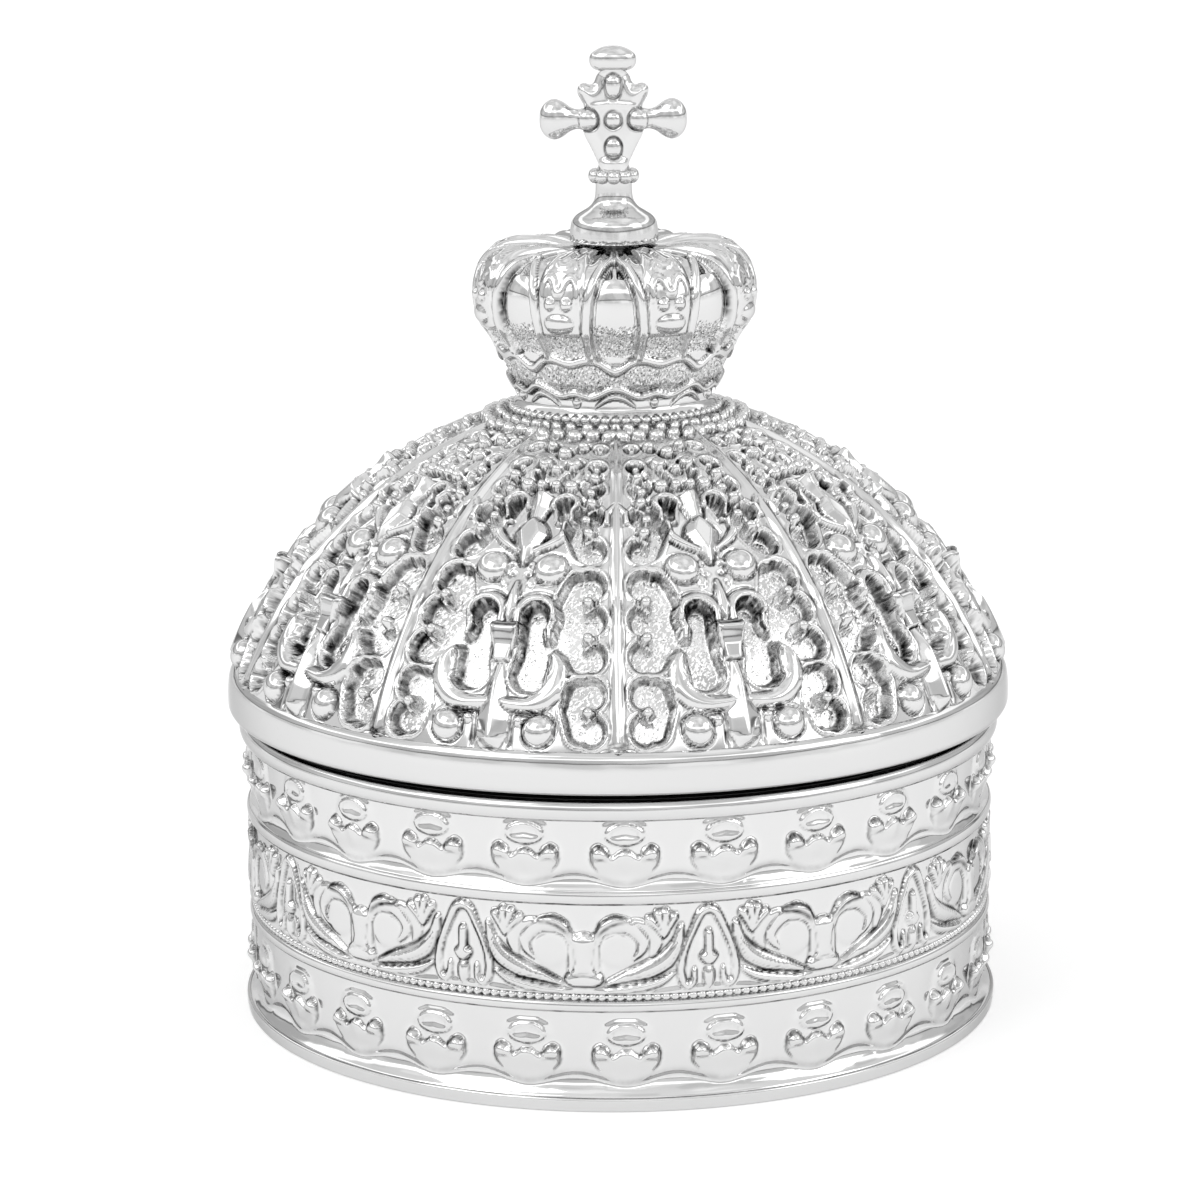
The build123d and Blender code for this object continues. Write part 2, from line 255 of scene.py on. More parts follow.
def relief_ring(name, form, relief, repeats, columns, rows, turn, body, node):
    """A closed silver ring whose outside is a meridian pushed out along its normal by a repeated relief.
    form holds meridian(t), normal(t) and back(t), each as (radius, level) at t from 0 to 1, where back is
    the hidden inside. relief(u, t) gives the height of one repeat, its sandy share and, if it has any, its
    painted shadow lines, with u the distance across from its middle."""
    meridian, normal, back = form
    sand_grain = 0.045
    past = 1 / (rows - 1)
    t = np.linspace(-past, 1 + past, rows + 2)[:, None]
    r, z = meridian(t)
    nr, nz = normal(t)
    share = (np.arange(columns) + 0.5) / columns - 0.5
    u = share[None, :] * 2 * pi * r / repeats
    height, sand, *shadow_lines = relief(u, t)
    height = height + sand * sand_grain * rng.standard_normal(height.shape)
    spacing = np.median(np.hypot(np.diff(r + 0 * t, axis=0), np.diff(z + 0 * t, axis=0)))
    fields = (height, sand, *shading(height, sand, shadow_lines, spacing))
    height, sand, hollow, tight = (np.tile(field, (1, repeats)) for field in fields)
    place = (np.arange(repeats)[:, None] + share[None, :]).reshape(1, -1)
    angle = radians(-90 + turn) + 2 * pi / repeats * place
    points = ring_points(r + height * nr, z + height * nz, angle)
    across = np.roll(points, -1, axis=1) - np.roll(points, 1, axis=1)
    up = np.empty_like(points)
    up[1:-1] = points[2:] - points[:-2]
    up[0], up[-1] = up[1], up[-2]
    facing = np.cross(across, up)
    facing /= np.linalg.norm(facing, axis=-1, keepdims=True)
    inner = [ring_points(*back(end), angle) for end in (1.0, 0.0)]
    inward = ring_points(-1.0, 0.0, angle)
    grid = np.concatenate((points[1:-1], *inner), axis=0)
    facing = np.concatenate((facing[1:-1], np.repeat(inward, 2, axis=0)), axis=0)
    none = np.zeros((2, grid.shape[1]))
    # The hollow and crease attributes carry painted shade, with the shadow lines, to the silver's colour.
    attributes = {key: np.vstack((field[1:-1], none))
                  for key, field in (("sand", sand), ("hollow", hollow), ("crease", tight))}
    make_piece(name, grid, relief_silver, body, node, attributes=attributes, normals=facing)


# Materials

class Wire:
    """A node's output socket, which can be added, multiplied and so on as a number."""

    def __init__(self, tree, socket):
        self.tree, self.socket = tree, socket

    def math(self, operation, other, swap=False):
        """The result of a Math node on this number and another, or on the other first."""
        node = self.tree.nodes.new("ShaderNodeMath")
        node.operation = operation
        for k, value in enumerate((other, self) if swap else (self, other)):
            if isinstance(value, Wire):
                self.tree.links.new(value.socket, node.inputs[k])
            else:
                node.inputs[k].default_value = value
        return Wire(self.tree, node.outputs[0])

    def __add__(self, other):
        return self.math("ADD", other)

    def __radd__(self, other):
        return self.math("ADD", other, True)

    def __sub__(self, other):
        return self.math("SUBTRACT", other)

    def __rsub__(self, other):
        return self.math("SUBTRACT", other, True)

    def __mul__(self, other):
        return self.math("MULTIPLY", other)

    def __rmul__(self, other):
        return self.math("MULTIPLY", other, True)

    def least(self, other):
        return self.math("MINIMUM", other)

    def most(self, other):
        return self.math("MAXIMUM", other)

    def held(self):
        """The number held between 0 and 1."""
        return self.least(1.0).most(0.0)


class Finish:
    """A material, or a world, and its nodes."""

    def __init__(self, name, world=None):
        self.block = world or bpy.data.materials.new(name)
        self.block.use_nodes = True
        self.tree = self.block.node_tree
        self.tree.nodes.clear()

    def node(self, kind, output=0, settings=None, **sockets):
        """A node of a kind: its settings, such as a ramp's stops of (place, grey or colour), then sockets.
        Sockets go by name, or by i and their number."""
        node = self.tree.nodes.new(kind)
        for key, value in (settings or {}).items():
            if key == "stops":
                self.set_stops(node.color_ramp.elements, value)
            else:
                setattr(node, key, value)
        for key, value in sockets.items():
            by_number = key[0] == "i" and key[1:].isdigit()
            socket = node.inputs[int(key[1:]) if by_number else key.replace("_", " ")]
            if isinstance(value, Wire):
                self.tree.links.new(value.socket, socket)
            else:
                socket.default_value = value
        return Wire(self.tree, node.outputs[output]) if node.outputs else None

    def set_stops(self, elements, stops):
        """Gives a ramp its stops. It starts with two."""
        for k, (place, shade) in enumerate(stops):
            stop = elements[k] if k < 2 else elements.new(place)
            stop.position = place
            stop.color = (shade, shade, shade, 1) if isinstance(shade, float) else (*shade, 1)

    def ramp(self, stops, value):
        """The colour at a value on a colour ramp."""
        return self.node("ShaderNodeValToRGB", settings={"stops": stops}, Fac=value)

    def noise(self, scale, detail=2.0, rough=0.5):
        """Cloudy noise on object coordinates, at a scale in waves for each metre."""
        place = self.node("ShaderNodeTexCoord", output=3)
        return self.node("ShaderNodeTexNoise", Vector=place, Scale=scale, Detail=detail, Roughness=rough)

    def attribute(self, name):
        """A number that the mesh holds for each point."""
        return self.node("ShaderNodeAttribute", output=2, settings={"attribute_name": name})

    def end(self, shader, kind="ShaderNodeOutputMaterial"):
        """Ends the nodes in an output. Gives the material or world."""
        self.node(kind, i0=shader)
        return self.block


def metal(finish, shade, rough, lumps):
    """Finishes a metal: its shade and roughness, and the lumps of its surface as a bump."""
    bump = finish.node("ShaderNodeBump", Strength=1.0, Distance=LUMP_HEIGHT, Height=lumps)
    return finish.end(finish.node("ShaderNodeBsdfPrincipled", Base_Color=shade, Roughness=rough, Metallic=1.0,
                                  Normal=bump, Specular_Tint=EDGE_TINT))


CASTING_WAVES, CLOUD_WAVES, SAND_WAVES = 260.0, 420.0, 6500.0
SILVER_TONE, POLISH = 0.70, 0.08
LUMP_HEIGHT, EDGE_TINT = 0.00012, (0.62, 0.62, 0.62, 1)


def carved_silver(name):
    """Polished silver plate on relief: a slow casting waviness, painted shade in the creases, cloudy patches
    of painted shade and light in the hollows and under overhangs, and matt speckled sand in the sunk grounds."""
    finish = Finish(name)
    wave = finish.noise(CASTING_WAVES, 1.0)
    sand, hollow, crease = (finish.attribute(key) for key in ("sand", "hollow", "crease"))
    grain = finish.noise(SAND_WAVES, 1.0)
    cloud = finish.noise(CLOUD_WAVES, 3.0, 0.7)
    speck = ((grain - 0.57) * 9.0).held()
    clean, contrast = 0.3, 2.8
    # Painted shade: creases and shadow lines darken, most where the cloud is high; hollows take cloudy
    # patches of painted shade and of painted light.
    dark = (clean + sand * (speck * 0.7 - clean) + crease * 0.75 * (cloud * contrast - 0.7)
            + hollow * 0.42 * (cloud * contrast - 1.9))
    shade = finish.ramp([(0.0, 0.98), (clean, SILVER_TONE), (0.62, 0.3), (1.0, 0.01)], dark.held())
    return metal(finish, shade, POLISH + sand * 0.3 + hollow * 0.12, wave * 0.8 + grain * sand * 0.3)


def plain_metal(name, polish, tone):
    """A smooth metal with a faint waviness and small changes of tone and roughness."""
    finish = Finish(name)
    wave = finish.noise(CASTING_WAVES, 1.0)
    shade = finish.ramp([(0.0, tone), (1.0, tone * 0.93)], finish.noise(60.0, 3.0))
    return metal(finish, shade, polish + finish.noise(900.0, 3.0) * 0.02, wave * 0.4)


def cloth(name, colour, dark, pile_waves, sheen):
    """Velvet or felt: short pile as fine noise, with cloudy patches where the pile leans."""
    finish = Finish(name)
    cloud = finish.noise(140.0, 3.0)
    pile = finish.noise(pile_waves, 4.0, 0.7)
    shade = finish.ramp([(0.25, dark), (0.75, colour)], cloud * 0.55 + pile * 0.45)
    bump = finish.node("ShaderNodeBump", Strength=0.7, Distance=0.0002, Height=pile)
    return finish.end(finish.node("ShaderNodeBsdfPrincipled", Base_Color=shade, Roughness=0.95,
                                  Sheen_Weight=sheen, Sheen_Roughness=0.4, Normal=bump))


relief_silver = carved_silver("silver_relief")
plain_silver = plain_metal("silver_polished", POLISH, SILVER_TONE)
# A near-black metal that stands in for the shadow in the gap under the lid's rim: painted shadow.
gap_shadow_silver = plain_metal("silver_gap_shadow", 0.4, 0.05)
bright_steel = plain_metal("steel_zinc_plated", 0.28, 0.5)
velvet = cloth("velvet_ivory", (0.80, 0.76, 0.68), (0.66, 0.61, 0.53), 3800.0, 0.5)
felt = cloth("felt_black", (0.055, 0.055, 0.06), (0.03, 0.03, 0.035), 2600.0, 0.25)


# Pot

BOSSES, UNITS, GORES, ARCHES, BEADS_ROUND = 25, 10, 10, 8, 272
GROUND_R, BAND_R, BACK_R = 36, 36.5, 35.7
BOSS_TURN, SCROLL_TURN = 0.8, -5.2
BOSS_PITCH, HALF_UNIT = 9.2, 11.5
SCROLL_BAND, BEAD_ROW = (11.1, 19.5), (10.36, 11.16)
NECK_R, NECK_TOP = 35.5, 32.6

pot_profile = [
    (33, 1.3), (33, 0.25), arc(33.25, 0.25, 0.25, 180, 270, 5), (37.25, 0),
    arc(37.25, 0.2, 0.2, -90, 0, 5), (37.5, 0.9), arc(37.3, 1.08, 0.2, 0, 80, 6), (37.1, 1.3),
    (GROUND_R, 1.32), (GROUND_R, 9.3), (BAND_R, 9.3),
    curve([(36.7, 9.34), (36.92, 9.6), (36.96, 9.9), (36.9, 10.2), (36.75, 10.36)], 14),
    (36.3, 10.42), (36.1, 11.08), (GROUND_R, 11.1), (GROUND_R, 19.5), (BAND_R, 19.5),
    curve([(36.7, 19.54), (36.95, 19.85), (37.02, 20.25), (36.98, 20.6), (36.85, 20.82)], 16),
    (36.6, 20.88), (GROUND_R, 20.9), (GROUND_R, 27.55), (BAND_R, 27.58), arc(36.3, 28.5, 1.25, -48, 40, 20),
    (37, 29.45), (36.2, 29.5), (35.6, 29.5), arc(35.6, 29.62, 0.1, 270, 180, 4), (NECK_R, 32.1),
    arc(35.1, 32.2, 0.4, 0, 90, 6), arc(34.5, 32.3, 0.3, 90, 180, 5), (34.2, 4.2),
    arc(33.2, 4.2, 1, 0, -90, 8), (0, 3.2), (0, 1.3)]
# The groove round the shoulder under the lid's rim, in the near-black metal: painted shadow of the gap.
groove_profile = [(35.4, 29.45), (36.55, 29.47), (36.55, 29.52), (35.62, 29.56), (35.56, 29.62),
                  (35.53, 30.2), (35.4, 30.2)]
turned("pot_body", pot_profile, plain_silver, "base", "pot")
turned("pot_shoulder_groove", groove_profile, gap_shadow_silver, "base", "pot")


def upright(low, high, radius=BAND_R, foot=None, flare=0):
    """An upright meridian, its normal and its hidden back. Below its foot level it flares out to a ring as
    a cove: r = R + f (1 - way)^2."""
    def meridian(t):
        z = low + t * (high - low)
        way = np.clip((z - low) / ((foot or high) - low), 0, 1)
        return radius + flare * (1 - way) ** 2, z

    return meridian, lambda t: (1 + 0 * t, 0 * t), lambda t: (BACK_R, low + t * (high - low))


def boss_motif(u, v):
    """One repeat of the boss bands, v in mm above the band's foot: a wavy ledge over a cove, a raised body
    with a round knob at each upper corner and a small peak between them, a soft neck, and a cupped oval
    boss on top."""
    x = np.abs(u)
    ledge = 0.1 - 0.5 * np.cos(2 * pi * u / BOSS_PITCH)
    height = -0.32 + 0.34 * ease(v, ledge - 0.45, ledge + 0.3)
    neck = width_at(v, [(1.4, 3.2), (2.2, 3.35), (3, 3.1), (3.5, 2.35), (4.4, 2.25), (5.2, 1.95),
                        (5.7, 0.9)]) - x
    height = height + 0.16 * ease(neck, -0.35, 0.45) * ease(v, 1.4, 2.7)
    sides = width_at(v, [(-0.9, 2), (0.2, 2.2), (0.8, 2.5), (1.4, 2.95), (2, 3.12), (2.6, 3.1),
                         (3.4, 2.7)])
    shoulder = curve([(0, 2.9), (0.45, 2.78), (0.95, 2.4), (1.35, 2.3), (1.75, 2.75), (2.25, 3.25),
                      (2.75, 3.1), (3.1, 2.5), (3.3, 1.8)], 40)
    body = np.minimum(np.interp(x, *shoulder.T) - v, sides - x)
    height = height + (0.02 + 0.42 * ease(v, 0, 1.9)) * plate(body, 0.55)
    height = (height + 0.34 * boss(x, v, 2.25, 2.45, 0.88, 0.8) * ease(v, 1.75, 2.5)
              + 0.12 * line(x, 0.45) * ease(v, 0.2, 2.4) * (body > 0))
    rim = 1 - np.hypot(u / 1.8, (v - 4.3) / 1.02)
    height = height + 0.34 * plate(rim, 0.42)
    height = height - 0.2 * ease(v - 4.1 + 0.18 * x, -0.25, 0.35) * ease(rim, 0.14, 0.34)
    # Painted shadow lines: just outside the body's outline, under each knob, and faint along the wavy ledge.
    shadow_lines = 0.75 * line(body + 0.06, 0.12) * ease(v, 0.4, 1.4) * ease(x, 0.5, 1.2)
    shadow_lines = shadow_lines + 0.4 * dash((x - 2.25) / 0.5, (v - 2 + 0.4 * (x - 2.2) ** 2) / 0.1)
    return height, np.maximum(shadow_lines, 0.17 * line(v - ledge - 0.05, 0.33))


def boss_band(name, low, foot, high, flare, rows):
    """One band of bosses round the pot."""
    def relief(u, t):
        v = low + t * (high - low) - foot
        height, shadow_lines = boss_motif(u, v + 0 * u)
        return soften(height), 0 * height, shadow_lines

    form = upright(low, high, foot=foot + 0.3, flare=flare)
    relief_ring(name, form, relief, BOSSES, 60, rows, BOSS_TURN, "base", "pot")


boss_band("pot_lower_band", 1.3, 2.9, 9.35, 1, 58)
boss_band("pot_upper_band", 20.86, 21.9, 27.6, 0.6, 50)


SCROLL = ([(1.15, 2.2), (1, 3.3), (0.98, 4.6), (1.6, 5.9), (2.9, 6.5), (4.3, 6.3), (5.35, 5.2), (5.3, 4.2),
           (4.6, 3.4)], (0.3, 0.42, 0.42, 0.5, 0.6, 0.62, 0.5, 0.4, 0.2))
SCROLL_TOP = ([(1.2, 5.6), (1.75, 6.5), (2.8, 7.05), (4.2, 7)], (0.12, 0.36, 0.36, 0.1))
TOP_STRAND = ([(4.6, 6.9), (6, 6.2), (6.6, 4.9), (6.3, 3.6)], (0.3, 0.6, 0.6, 0.25))
LOW_STRAND = ([(8.3, 1.9), (7, 1.15), (5.4, 0.7), (3.6, 0.42), (2, 0.3)], (0.15, 0.4, 0.45, 0.36, 0.2))
LEAF_STRAND = ([(8.9, 6.3), (8.5, 4.7), (7.6, 3.3), (6, 2.35), (4.1, 1.75), (2.2, 1.05)],
               (0.3, 0.55, 0.85, 0.85, 0.6, 0.25))
BUD_ARCH = ([(0, 7.9), (0.75, 7.5), (1.35, 6.3), (1.95, 4.9), (2.4, 3.6), (2.62, 2.1), (2.4, 0.95),
             (1.9, 0.6), (1.45, 1.05), (1.35, 2.1)],
            (0.42, 0.4, 0.34, 0.3, 0.3, 0.32, 0.34, 0.34, 0.3, 0.2))
PALMETTE = ((-1.3, 1.7), (-0.55, 2.2), (0.2, 2.3), (0.95, 1.9))


def scroll_motif(u, t):
    """One repeat of the scroll band: a vase stem between two flat C-scrolls round smooth eyes, leaf strands
    that sweep down to its foot, palmettes in the upper corners, and at each side half a lily bud under an
    arch with curled ends."""
    v = t * (SCROLL_BAND[1] - SCROLL_BAND[0]) + 0 * u
    x = np.abs(u)
    q = HALF_UNIT - x
    height = 0.2 * line(v - 0.15 - 0.15 * np.cos(2 * pi * u / HALF_UNIT), 0.3)
    height = height + 0.16 * ease(1.85 - np.hypot(x - 3.1, v - 4.15), -0.1, 0.5)
    height = lift(height, 0, 0.34, plate(inside(x, v, curve(SCROLL[0], 46), SCROLL[1]), 0.28))
    scroll_top = curve(SCROLL_TOP[0], 16)
    height = lift(height, 0.1, 0.52, cord(x, v, scroll_top, SCROLL_TOP[1]))
    for across, (path, widths), rise in ((x, TOP_STRAND, 0.3), (x, LOW_STRAND, 0.5), (x, LEAF_STRAND, 0.66),
                                         (q, BUD_ARCH, 0.5)):
        height = lift(height, 0, rise, cord(across, v, curve(path, 5 * len(path)), widths))
    for bend, long in PALMETTE:
        lobe = [(7.35, 5.35), (7.35 + 0.5 * bend, 5.4 + 0.55 * long), (7.3 + bend, 5.4 + long)]
        height = lift(height, 0, 0.55, cord(x, v, lobe, (0.15, 0.3, 0.4)))
    vase = width_at(v, [(0.75, 0.8), (0.95, 1.55), (1.3, 1.8), (1.8, 1.65), (2.3, 1), (3, 0.85),
                        (4, 0.95), (4.9, 1.15), (5.5, 1), (5.7, 0.4)]) - x
    height = lift(height, 0, 0.6, plate(vase, 0.5))
    height = height - 0.14 * line(v - 2 + 0.12 * x * x, 0.13) * (vase > 0.1)
    height = height - 0.2 * ease(v - 5 - 0.25 * x * x, 0, 0.5) * (vase > 0)
    bud = width_at(v, [(2.6, 0.4), (3.3, 0.95), (3.55, 0.75), (3.8, 0.46), (4.7, 0.42), (5.7, 0.32),
                       (6.1, 0.05)]) - q
    height = lift(height, 0, 0.6, plate(bud, 0.35))
    height = lift(height, 0, 0.62, boss(q, v, 0, 1.45, 0.55, 1.25))
    strand = inside(x, v, curve(LEAF_STRAND[0], 30), LEAF_STRAND[1])
    height = groove(groove(height, 0.16, strand - 0.42, 0.09), 0.1, strand - 0.7, 0.07)
    # Painted shadow lines: just outside the leaf strands low on the band, and just outside the top scrolls
    # higher up.
    over = inside(x, v, scroll_top, SCROLL_TOP[1])
    shadow_lines = line(strand + 0.02, 0.16) * ease(x, 1.8, 3.5) * (v < 5)
    shadow_lines = shadow_lines + line(over + 0.02, 0.16) * ease(v, 5.2, 6.4)
    return soften(height), 0 * height, np.clip(shadow_lines, 0, 1)


def bead_relief(u, t):
    """A row of round beads, one for each repeat."""
    v = (t - 0.5) * (BEAD_ROW[1] - BEAD_ROW[0]) + 0 * u
    return 0.42 * boss(u, v, 0, 0, 0.43, 0.42), 0 * v


scroll_form, bead_form = upright(*SCROLL_BAND), upright(*BEAD_ROW, 36.35)
relief_ring("pot_scroll_band", scroll_form, scroll_motif, UNITS, 136, 50, SCROLL_TURN, "base", "pot")
relief_ring("pot_bead_row", bead_form, bead_relief, BEADS_ROUND, 8, 6, 0, "base", "pot")


# Linings and felt

wall_profile = [(34.12, 3.25), (34.12, 31), arc(33.85, 31, 0.27, 0, 180, 9), (33.55, 30.6), (33.58, 4),
                (33.6, 3.25)]
floor_profile = [(0, 3.25), (33.2, 3.25), arc(32.95, 3.8, 0.4, -60, 70, 9),
                 curve([(32.6, 4.5), (26, 4.76), (12, 4.8), (0, 4.8)], 12)]
felt_profile = [(0, 1.28), (0, 0.36), (32.3, 0.36), arc(32.3, 0.66, 0.3, -90, 0, 6), (32.6, 1.28)]
turned("wall_velvet", wall_profile, velvet, "base", "wall_lining", columns=240)
turned("floor_velvet", floor_profile, velvet, "base", "floor_lining", columns=240)
turned("foot_felt_disc", felt_profile, felt, "base", "foot_felt", columns=200)


# Lid: its dome is part of a ball about a point on the axis

BALL_R, BALL_Z, DOME_BACK_R = 40.35, 20.1, 38.85
DOME_START = radians(20.3)


def ball(radius, start, end, count):
    """Points of a meridian of a ball about the dome's centre."""
    return arc(0, BALL_Z, radius, start, end, count)


lid_profile = [
    (35.9, 30.35), arc(36.05, 30.35, 0.15, 180, 270, 4), (37.7, 30.2), arc(37.78, 31, 0.8, -88, 0, 12),
    curve([(38.58, 31.2), (38.57, 32.2), (38.46, 33.2), (38.3, 33.75), (38, 34.1), (37.6, 34.3)], 16),
    (36.9, 34.4), ball(38.9, 21.8, 74, 60), (10.4, 58.9), (1.75, 58.9), (1.75, 55.9), (12, 55.9),
    arc(12, 55.4, 0.5, 90, 60, 4), ball(37.45, 70, 22.9, 44), (34.6, 33.4), (34.6, NECK_TOP),
    (35.9, NECK_TOP)]
turned("lid_shell", lid_profile, plain_silver, "lid", "dome_lid")

# Round bites of the pockets into the ribs: level, distance from the rib and radius. The upper ones hold a
# boss each, given as distance and radius
BITES = ((2.1, 2.5, 1.65), (5.45, 2.45, 1.65), (9, 2.4, 1.65), (12.65, 2.4, 1.65), (16.25, 2.4, 1.65),
         (20.1, 2.4, 1.65), (24.1, 2.45, 1.5), (27.75, 2.2, 1.3), (31, 1.75, 0.95), (33.9, 1.45, 0.8))
BITE_BOSSES = ((2.85, 0.62), (2.4, 0.58), (1.85, 0.42), (1.5, 0.36))
CUSP_LEVELS = (3.75, 10.8, 14.45, 22.1, 25.9, 29.4)
# Strokes of the pockets, as a path and its half widths: beside the ribs, and about the middle of the gore
RIB_STROKES = (
    ([(3.5, 2), (3.95, 4), (3.4, 5.6)], (1.3, 1.35, 1.35)),
    ([(3.4, 8.8), (4.2, 10.6), (4.3, 12.6), (4.1, 14.4), (3.3, 16.3)], (1.5, 1.65, 1.6, 1.55, 1.45)),
    ([(2.8, 20.1), (3.5, 22), (2.8, 24.1)], (1.4, 1.35, 1.2)))
MIDDLE_STROKES = (
    ([(2.85, 7.3), (2.9, 9), (2.75, 11), (2.4, 12.9)], (1.95, 1.6, 1.4, 1.3)),
    ([(2.8, 10.4), (7, 10.5)], (1.25, 1.3)),
    ([(2.6, 23.4), (2.3, 25.4)], (0.45, 0.75)),
    ([(1.3, 29), (1.5, 30)], (0.5, 0.55)))
BARS = (
    (np.vstack((arc(2.35, 12.9, 1.75, 20, -35, 5), [(4, 10.9)])), (0.3, 0.35, 0.2)),
    ([(4.75, 9.5), (5.1, 8.6), (5.5, 7)], (0.12, 0.6, 1.2)))
POCKET_FLOOR, POCKET_WALL = -1.45, 0.62


def gore_pocket(x, q, s):
    """How far a point lies inside a pocket, below 0 outside it. x is the distance from the middle of the
    gore, q from its rib and s up from the rim. Bars of metal run down into the pockets."""
    pocket = np.full(x.shape, -9.0)
    for level, middle, size in BITES:
        pocket = np.maximum(pocket, size - np.hypot(1.1 * (q - middle), s - level))
    for across, strokes in ((q, RIB_STROKES), (x, MIDDLE_STROKES)):
        for path, widths in strokes:
            pocket = np.maximum(pocket, inside(across, s, path, widths))
    for path, widths in BARS:
        pocket = np.minimum(pocket, -inside(x, s, path, widths))
    return pocket


def rib_form(q, s):
    """The smooth rib and its marks: fine flutes beside it, small bosses on it and a slot at its foot."""
    form = -0.1 * np.clip(q / 3, 0, 1)
    form = np.maximum(form, 0.4 * np.clip(1 - q / 0.6, 0, 1))
    for level, long in ((5.6, 2), (10.8, 2.4), (16, 2.6), (21, 1.9)):
        form = groove(form, 0.16, np.hypot((q - 0.75) / 0.3, (s - level) / long), 0.8)
    form = lift(form, 0, 0.5, boss(q, s, 0, 13.4, 0.45, 1.9))
    form = lift(form, 0, 0.35, cord(q, s, [(0.9, 23.2), (0.85, 24.4), (0, 25.6)], (0.3,)))
    form = lift(form, -0.05, 0.35, boss(q, s, 0, 1.5, 0.5, 0.9))
    return groove(form, 0.5, np.hypot(q / 0.9, (s - 0.35) / 0.2), 1)


def lower_lily(form, u, x, s):
    """Lower fleur-de-lis: faceted spear, flared cap with a slot, broad hooks, and a boss ringed by a groove
    at each side of its foot and of the link above it."""
    spear = width_at(s, [(0.2, 1), (1.6, 1.6), (2.8, 1.7), (5, 1.15), (8.3, 0.35)])
    facet = 1.05 * (1 - x / np.maximum(spear, 0.01)) * ease(spear, 0.1, 1) * ease(s, 0, 1)
    form = np.where(spear > x, np.maximum(form, facet), form)
    form = groove(form, 0.3, np.hypot((x - 1.75) / 0.18, np.clip(np.abs(s - 2) - 1.2, 0, None) / 0.5), 1)
    cap = leaf(u, s, [(8.2, 0.9), (9.4, 1.05), (10.8, 1.5), (11.9, 1.65), (12, 1.6)], 0.35)
    form = lift(form, -0.15, 0.7 + 0.75 * ease(s, 9.4, 11.6), cap * ease(12.15 - s, 0, 0.6))
    form = groove(form, 0.5, np.hypot(np.clip(x - 1, 0, None) / 0.2, (s - 11.55) / 0.16), 1)
    hook = np.vstack((arc(2.75, 7.2, 2.75, 40, -10, 8), arc(2.75, 7, 2.8, -20, -95, 10),
                      [(1.2, 4.3), (0.2, 4.5)]))
    form = lift(form, -0.05, 0.75, cord(x, s, hook, (0.35, 0.8, 1.05, 1, 0.8, 0.5)))
    slot = np.hypot(np.clip(np.abs(x - 2.9) - 0.7, 0, None) / 0.25, (s - 3.45) / 0.16)
    form = groove(form, 0.55, slot, 1)
    form = lift(form, -0.2, 0.45, boss(x, s, 2.45, 2.85, 0.55))
    for bx, bs, size in ((4.4, 1.95, 1.5), (2.8, 17.8, 1.6)):
        form = groove(form, 0.16, np.hypot(x - bx, s - bs) - size - 0.08, 0.14)
        form = lift(form, -0.1, 1.15, boss(x, s, bx, bs, size))
    return form


def middle_hooks(form, u, x, s):
    """Arched hooks, link and beads between the two fleurs-de-lis."""
    arch = np.vstack((arc(2.35, 12.9, 1.65, 0, 175, 14), [(0.75, 12)]))
    form = lift(form, -0.05, 0.65, cord(x, s, arch, (0.35, 0.5, 0.6, 0.4)))
    form = groove(form, 0.22, np.abs(np.hypot(x - 2.35, s - 12.9) - 2.35) + np.clip(13.3 - s, 0, None), 0.16)
    form = lift(form, -0.1, 0.6, leaf(u, s, [(12.1, 0.35), (13.4, 0.8), (14.6, 0.7), (16.3, 0.3)], 0.6) * 1.3)
    form = lift(form, -0.1, 0.4, boss(x, s, 0.95, 18.2, 0.4))
    form = lift(form, -0.1, 0.35, boss(x, s, 1.3, 16.3, 0.5, 0.8))
    return groove(form, 0.3, np.hypot((x - 0.8) / 0.5, (s - 17) / 0.35), 0.7)


def upper_lily(form, x, s):
    """Upper fleur-de-lis: lozenge petal with a flared tip, side petals, a ring of hooks and the bosses over
    them."""
    petal = width_at(s, [(18, 0), (20, 1.15), (21.6, 1.65), (22.6, 1.25), (23.4, 0.6), (24.8, 0.95),
                         (26.2, 1.15), (26.5, 0.9)])
    form = groove(form, 0.25, (x - petal - 0.15) + 9 * (petal < 0), 0.16)
    rise = (0.85 + 0.5 * ease(s, 24.5, 26)) * np.clip((petal - x) / 1.1, 0, 0.8) * ease(26.6 - s, 0, 0.5)
    form = np.where(petal > x, np.maximum(form, 0.15 + rise), form)
    side_petal = curve([(0.9, 19.6), (2.3, 20.6), (3.2, 21.8), (3, 23), (2.3, 23)])
    form = lift(form, -0.1, 0.75, cord(x, s, side_petal, (0.35, 0.55, 0.5, 0.3)))
    form = lift(form, -0.1, 0.7, cord(x, s, arc(2.3, 25.3, 1.15, -50, 190, 12), (0.3, 0.42, 0.42, 0.3)))
    form = groove(form, 0.3, np.hypot((x - 1.3) / 0.25, (s - 27.2) / 0.7), 0.8)
    for bx, bs, size in ((2.1, 28, 0.7), (0.7, 28, 0.55), (1.4, 31.4, 0.75), (0, 30.3, 0.5),
                         (0, 33.2, 0.7), (1.5, 34.2, 0.6)):
        form = groove(form, 0.28, np.hypot(x - bx, s - bs) - size - 0.1, 0.15)
        form = lift(form, -0.1, 0.8, boss(x, s, bx, bs, size))
    form = groove(form, 0.2, np.hypot((x - 1.4) / 0.3, (s - 31.4) / 0.3), 1)
    for bx, bs, size in ((0, 36.3, 0.85), (1.75, 36.4, 0.75), (3.4, 36.3, 0.8), (0.85, 37.7, 0.62),
                         (2.35, 37.7, 0.62), (3.5, 37.8, 0.5)):
        form = lift(form, -0.05, 0.85, boss(x, s, bx, bs, size))
    return form


